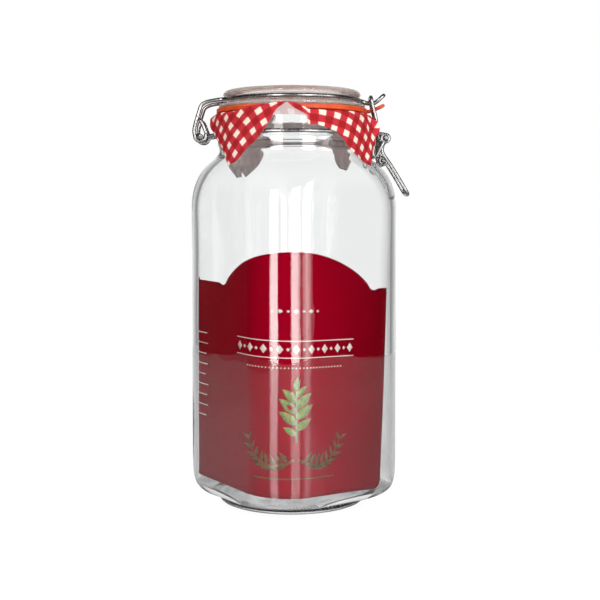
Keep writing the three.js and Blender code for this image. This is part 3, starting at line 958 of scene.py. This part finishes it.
def gingham():
    s = Shader("gingham")
    wander = s.noise(s.place(uv="threads"), 260, 2)
    flat = s.add("SeparateXYZ")
    s.links.new(s.place(uv="threads"), flat.inputs[0])
    bands = []
    threads = []
    for axis in (0, 1):
        shifted = s.math("ADD", flat.outputs[axis], s.spread(wander, 0, 1, -0.00014, 0.00014))
        wave = s.math("PINGPONG", s.math("DIVIDE", shifted, CHECK_PITCH), 0.5)
        edge = CHECK_WHITE / 2
        bands.append(s.spread(wave, edge - 0.012, edge + 0.012))
        turns = s.math("MULTIPLY", flat.outputs[axis], TAU / THREAD_PITCH)
        threads.append(s.math("SINE", turns))
    depth = s.math("ADD", bands[0], bands[1])
    cream, mid, deep = linear(255, 246, 228), linear(206, 36, 57), linear(172, 0, 14)
    first = s.mix(s.math("MINIMUM", depth, 1.0), cream, mid)
    colour = s.mix(s.math("SUBTRACT", depth, 1.0, clamp=True), first, deep)
    fleck = s.noise(s.place(uv="threads"), 1500, 3, 0.7)
    colour = s.mix(s.spread(fleck, 0.4, 0.75, 0, 0.16), colour, linear(214, 96, 100))
    reverse = s.add("Attribute", attribute_name="reverse").outputs["Fac"]
    # Painted light: the underside's pale is lighter than the front's turned back hem, though both are the
    # same reverse, to make up for the little light that reaches the back flaps through the glass.
    plain = s.mix(s.spread(reverse, TURNED_BACK, 1), linear(208, 205, 203), linear(250, 246, 243))
    pale = s.mix(s.math("MULTIPLY", depth, 0.1), plain, linear(222, 170, 170))
    s.join(s.mix(s.spread(reverse, 0, TURNED_BACK), colour, pale), s.surface, "Base Color")
    s.put("Roughness", 0.9)
    s.put("Specular IOR Level", 0.08)
    weave = s.math("MULTIPLY", threads[0], threads[1])
    s.bump(s.math("ADD", weave, s.math("MULTIPLY", fleck, 1.5)), 0.35, 0.00012)
    through_light = s.add("BsdfTranslucent")
    s.links.new(s.mix(0.4, colour, pale), through_light.inputs["Color"])
    s.blend(through_light, s.spread(reverse, TURNED_BACK, 1, 0.5, 0.2))
    return s


def crimson_card():
    s = Shader("crimson_card")
    place = s.add("SeparateXYZ")
    s.links.new(s.place(uv="print"), place.inputs[0])
    # Painted shade: the card's colour is darker away from its middle towards both sides, and darker on the
    # right side than the left, where less light falls on the walls turning away.
    along = s.math("SUBTRACT", place.outputs[0], ARCH_MIDDLE * MM)
    away = s.math("ABSOLUTE", along)
    sides = s.mix(s.spread(along, -0.02, 0.02), linear(152, 0, 22), linear(124, 0, 17))
    colour = s.mix(s.spread(away, 0.01, 0.062), linear(166, 0, 32), sides)
    mottle = s.noise(s.place(uv="print"), 700, 4, 0.6)
    colour = s.mix(s.spread(mottle, 0.35, 0.8, 0, 0.1), colour, linear(90, 0, 14))
    s.join(colour, s.surface, "Base Color")
    s.put("Roughness", 0.8)
    s.put("Specular IOR Level", 0.02)
    s.bump(s.noise(s.place(), 700, 2, 0.5), 0.04, 0.0001)
    return s


def ink(name, light, dark):
    s = Shader(name)
    s.join(s.mix(s.spread(s.noise(s.place(), 650, 3), 0.35, 0.7), dark, light), s.surface, "Base Color")
    s.put("Roughness", 0.5)
    s.put("Specular IOR Level", 0.3)
    s.bump(s.noise(s.place(), 2500, 2), 0.1, 0.00005)
    return s


FLOOR_WHITE = 1.25
FLOOR_SHARE = 0.76  # the share of plain white where the camera looks at the table directly


def pale_floor():
    """A glossy pale table. It's exposed to white where the camera looks at it directly."""
    s = Shader("pale_floor")
    tone = s.noise(s.place(), 6, 3)
    s.join(s.mix(s.spread(tone, 0.3, 0.7), (0.37, 0.37, 0.37, 1), (0.41, 0.41, 0.41, 1)),
           s.surface, "Base Color")
    s.put("Roughness", 0.9)
    s.put("Specular IOR Level", 0)
    s.put("Coat Weight", 0.9)
    s.put("Coat Roughness", 0.1)
    white = s.add("Emission")
    white.inputs["Strength"].default_value = FLOOR_WHITE
    s.blend(white, s.math("MULTIPLY", s.add("LightPath").outputs["Is Camera Ray"], FLOOR_SHARE))
    return s


# Stage, light and camera

GLASS_BOUNCES = 24  # light passes through many walls of glass
# The camera, in metres, with what was measured in the photograph in pixels
CAMERA_AWAY = 0.7256
CAMERA_HEIGHT = 0.1836
FOCAL_PX = 1157
FRAME_PX = 600
AXIS_PX = 292  # the jar's axis in the photograph
HORIZON_PX = 206.7
SHIFT = -0.06
FLOOR_RADIUS = 765  # in millimetres
FLOOR_DROP = 0.2


def stage_floor():
    """A round pale table top. Its front edge shows in the glass as the veil's upper end."""
    sides = 96
    rim = [(FLOOR_RADIUS * math.cos(TAU * i / sides), FLOOR_RADIUS * math.sin(TAU * i / sides), -FLOOR_DROP)
           for i in range(sides)]
    floor = made("floor", [(rim, [tuple(range(sides))])], None, smooth=False)
    return floor


# Tall softboxes in front of the jar: degrees from the camera's line, distance, width and radiance
STRIPS = {"strip_left": (-24, 1.2, 0.38, 9), "strip_right": (27, 1.2, 0.42, 8),
          "strip_side": (57, 1.2, 0.3, 3), "strip_glow": (56, 1.22, 0.6, 1.2)}
STRIP_HEIGHT = 1.15
STRIP_LOW = -0.35  # the height of their lower ends


def strip_light(name, degrees, away, width, radiance):
    angle = math.radians(degrees)
    data = bpy.data.lights.new(name, "AREA")
    data.shape = "RECTANGLE"
    data.size, data.size_y = width, STRIP_HEIGHT
    data.energy = radiance * math.pi * width * STRIP_HEIGHT
    lamp = bpy.data.objects.new(name, data)
    lamp.location = (away * math.sin(angle), -away * math.cos(angle), STRIP_LOW + STRIP_HEIGHT / 2)
    lamp.rotation_euler = (math.pi / 2, 0, angle)
    lamp.visible_camera = False
    bpy.context.scene.collection.objects.link(lamp)
    return lamp


# How bright the studio is behind the glass, by the cosine of the angle from straight back
BACKDROP = ((0.3, 0.0), (0.55, 0.12), (0.755, 0.33), (0.9, 0.6), (0.956, 0.85), (0.985, 1.0))
CEILING = 1.9  # the light from straight above, which falls on matt surfaces only
CEILING_LOW, CEILING_FULL = 0.45, 0.85  # the cosines from straight up where it begins and is full
STUDIO = 0.85  # the studio at the front and sides, seen straight through the glass
STUDIO_LOW, STUDIO_FULL = 0.17, -0.1  # the cosines from straight back where it begins and is full


def studio_world(strength):
    """White where the camera looks past the jar, and a narrow bright backdrop for other rays. Matt
    surfaces also get light from above, and sight straight through the glass meets a bright studio."""
    world = bpy.data.worlds.new("studio")
    bpy.context.scene.world = world
    world.use_nodes = True
    nodes, links = world.node_tree.nodes, world.node_tree.links
    nodes.clear()
    way = nodes.new("ShaderNodeSeparateXYZ")
    links.new(nodes.new("ShaderNodeTexCoord").outputs["Generated"], way.inputs[0])
    ramp = nodes.new("ShaderNodeValToRGB")
    stops = ramp.color_ramp.elements
    while len(stops) < len(BACKDROP):
        stops.new(0.5)
    for stop, (place, light) in zip(stops, BACKDROP):
        stop.position = place
        stop.color = (light, light, light, 1)
    links.new(way.outputs["Y"], ramp.inputs["Fac"])
    above = nodes.new("ShaderNodeMapRange")
    above.interpolation_type = "SMOOTHSTEP"
    for name, number in (("From Min", CEILING_LOW), ("From Max", CEILING_FULL), ("To Max", CEILING)):
        above.inputs[name].default_value = number
    links.new(way.outputs["Z"], above.inputs["Value"])
    path = nodes.new("ShaderNodeLightPath")

    def reckon(how, first, second):
        node = nodes.new("ShaderNodeMath")
        node.operation = how
        for socket, value in zip(node.inputs, (first, second)):
            if isinstance(value, int):
                socket.default_value = value
            else:
                links.new(value, socket)
        return node.outputs[0]

    clear = reckon("ADD", path.outputs["Is Glossy Ray"], path.outputs["Is Transmission Ray"])
    matt = reckon("MAXIMUM", reckon("SUBTRACT", 1, clear), path.outputs["Diffuse Depth"])
    shown = reckon("MULTIPLY", above.outputs["Result"], reckon("MINIMUM", matt, 1))
    around = nodes.new("ShaderNodeMapRange")
    for name, number in (("From Min", STUDIO_LOW), ("From Max", STUDIO_FULL), ("To Max", STUDIO)):
        around.inputs[name].default_value = number
    links.new(way.outputs["Y"], around.inputs["Value"])
    bounced = reckon("ADD", path.outputs["Glossy Depth"], path.outputs["Diffuse Depth"])
    straight = reckon("SUBTRACT", 1, reckon("MINIMUM", bounced, 1))
    through = reckon("MULTIPLY", path.outputs["Is Transmission Ray"], straight)
    shown = reckon("ADD", shown, reckon("MULTIPLY", around.outputs["Result"], through))
    light_here = reckon("ADD", ramp.outputs["Color"], shown)
    lights = []
    for power in (strength, 1.0):
        light = nodes.new("ShaderNodeBackground")
        light.inputs["Strength"].default_value = power
        light.inputs["Color"].default_value = (1, 1, 1, 1)
        lights.append(light)
    links.new(light_here, lights[0].inputs["Color"])
    pick = nodes.new("ShaderNodeMixShader")
    links.new(path.outputs["Is Camera Ray"], pick.inputs[0])
    links.new(lights[0].outputs[0], pick.inputs[1])
    links.new(lights[1].outputs[0], pick.inputs[2])
    links.new(pick.outputs[0], nodes.new("ShaderNodeOutputWorld").inputs["Surface"])


def camera():
    data = bpy.data.cameras.new("camera")
    data.sensor_width = 36
    data.lens = FOCAL_PX / FRAME_PX * data.sensor_width
    data.shift_y = SHIFT
    axis_row = FRAME_PX / 2 + SHIFT * FRAME_PX
    pitch = math.atan((axis_row - HORIZON_PX) / FOCAL_PX)
    yaw = math.atan((FRAME_PX / 2 - AXIS_PX) / FOCAL_PX)
    eye_at = bpy.data.objects.new("camera", data)
    eye_at.location = (0, -CAMERA_AWAY, CAMERA_HEIGHT)
    eye_at.rotation_euler = (math.pi / 2 - pitch, 0, -yaw)
    bpy.context.scene.collection.objects.link(eye_at)
    bpy.context.scene.camera = eye_at


camera()
floor = stage_floor()
body = jar_body()
lid = lid_glass()
seal = gasket()
wires = [neck_wire(), lid_wire(), bail(), lever()]
cover = cloth()
card = label_card()
label_print()

glass("clear_glass", tint=(0.98, 0.985, 0.985, 1), rough=(0.0, 0.03), waves=0.12).paint(body)
glass("pressed_glass", tint=(0.96, 0.94, 0.93, 1), rough=(0.04, 0.1), waves=0.05, haze=0.27).paint(lid)
orange_rubber().paint(seal)
drawn_steel().paint(*wires)
gingham().paint(cover)
crimson_card().paint(card)
ink("cream_ink", linear(255, 252, 244), linear(250, 238, 226)).paint(bpy.data.objects["print_cream"])
ink("green_ink", linear(176, 190, 120), linear(128, 150, 84)).paint(bpy.data.objects["print_green"])
ink("olive_ink", linear(140, 104, 62), linear(112, 76, 44)).paint(bpy.data.objects["print_olive"])
pale_floor().paint(floor)

studio_world(strength=1.06)
for name, sizes in STRIPS.items():
    strip_light(name, *sizes)

view = bpy.context.scene.view_settings
view.view_transform = "Standard"
view.look = "None"
bpy.context.scene.cycles.max_bounces = GLASS_BOUNCES
bpy.context.scene.cycles.transmission_bounces = GLASS_BOUNCES
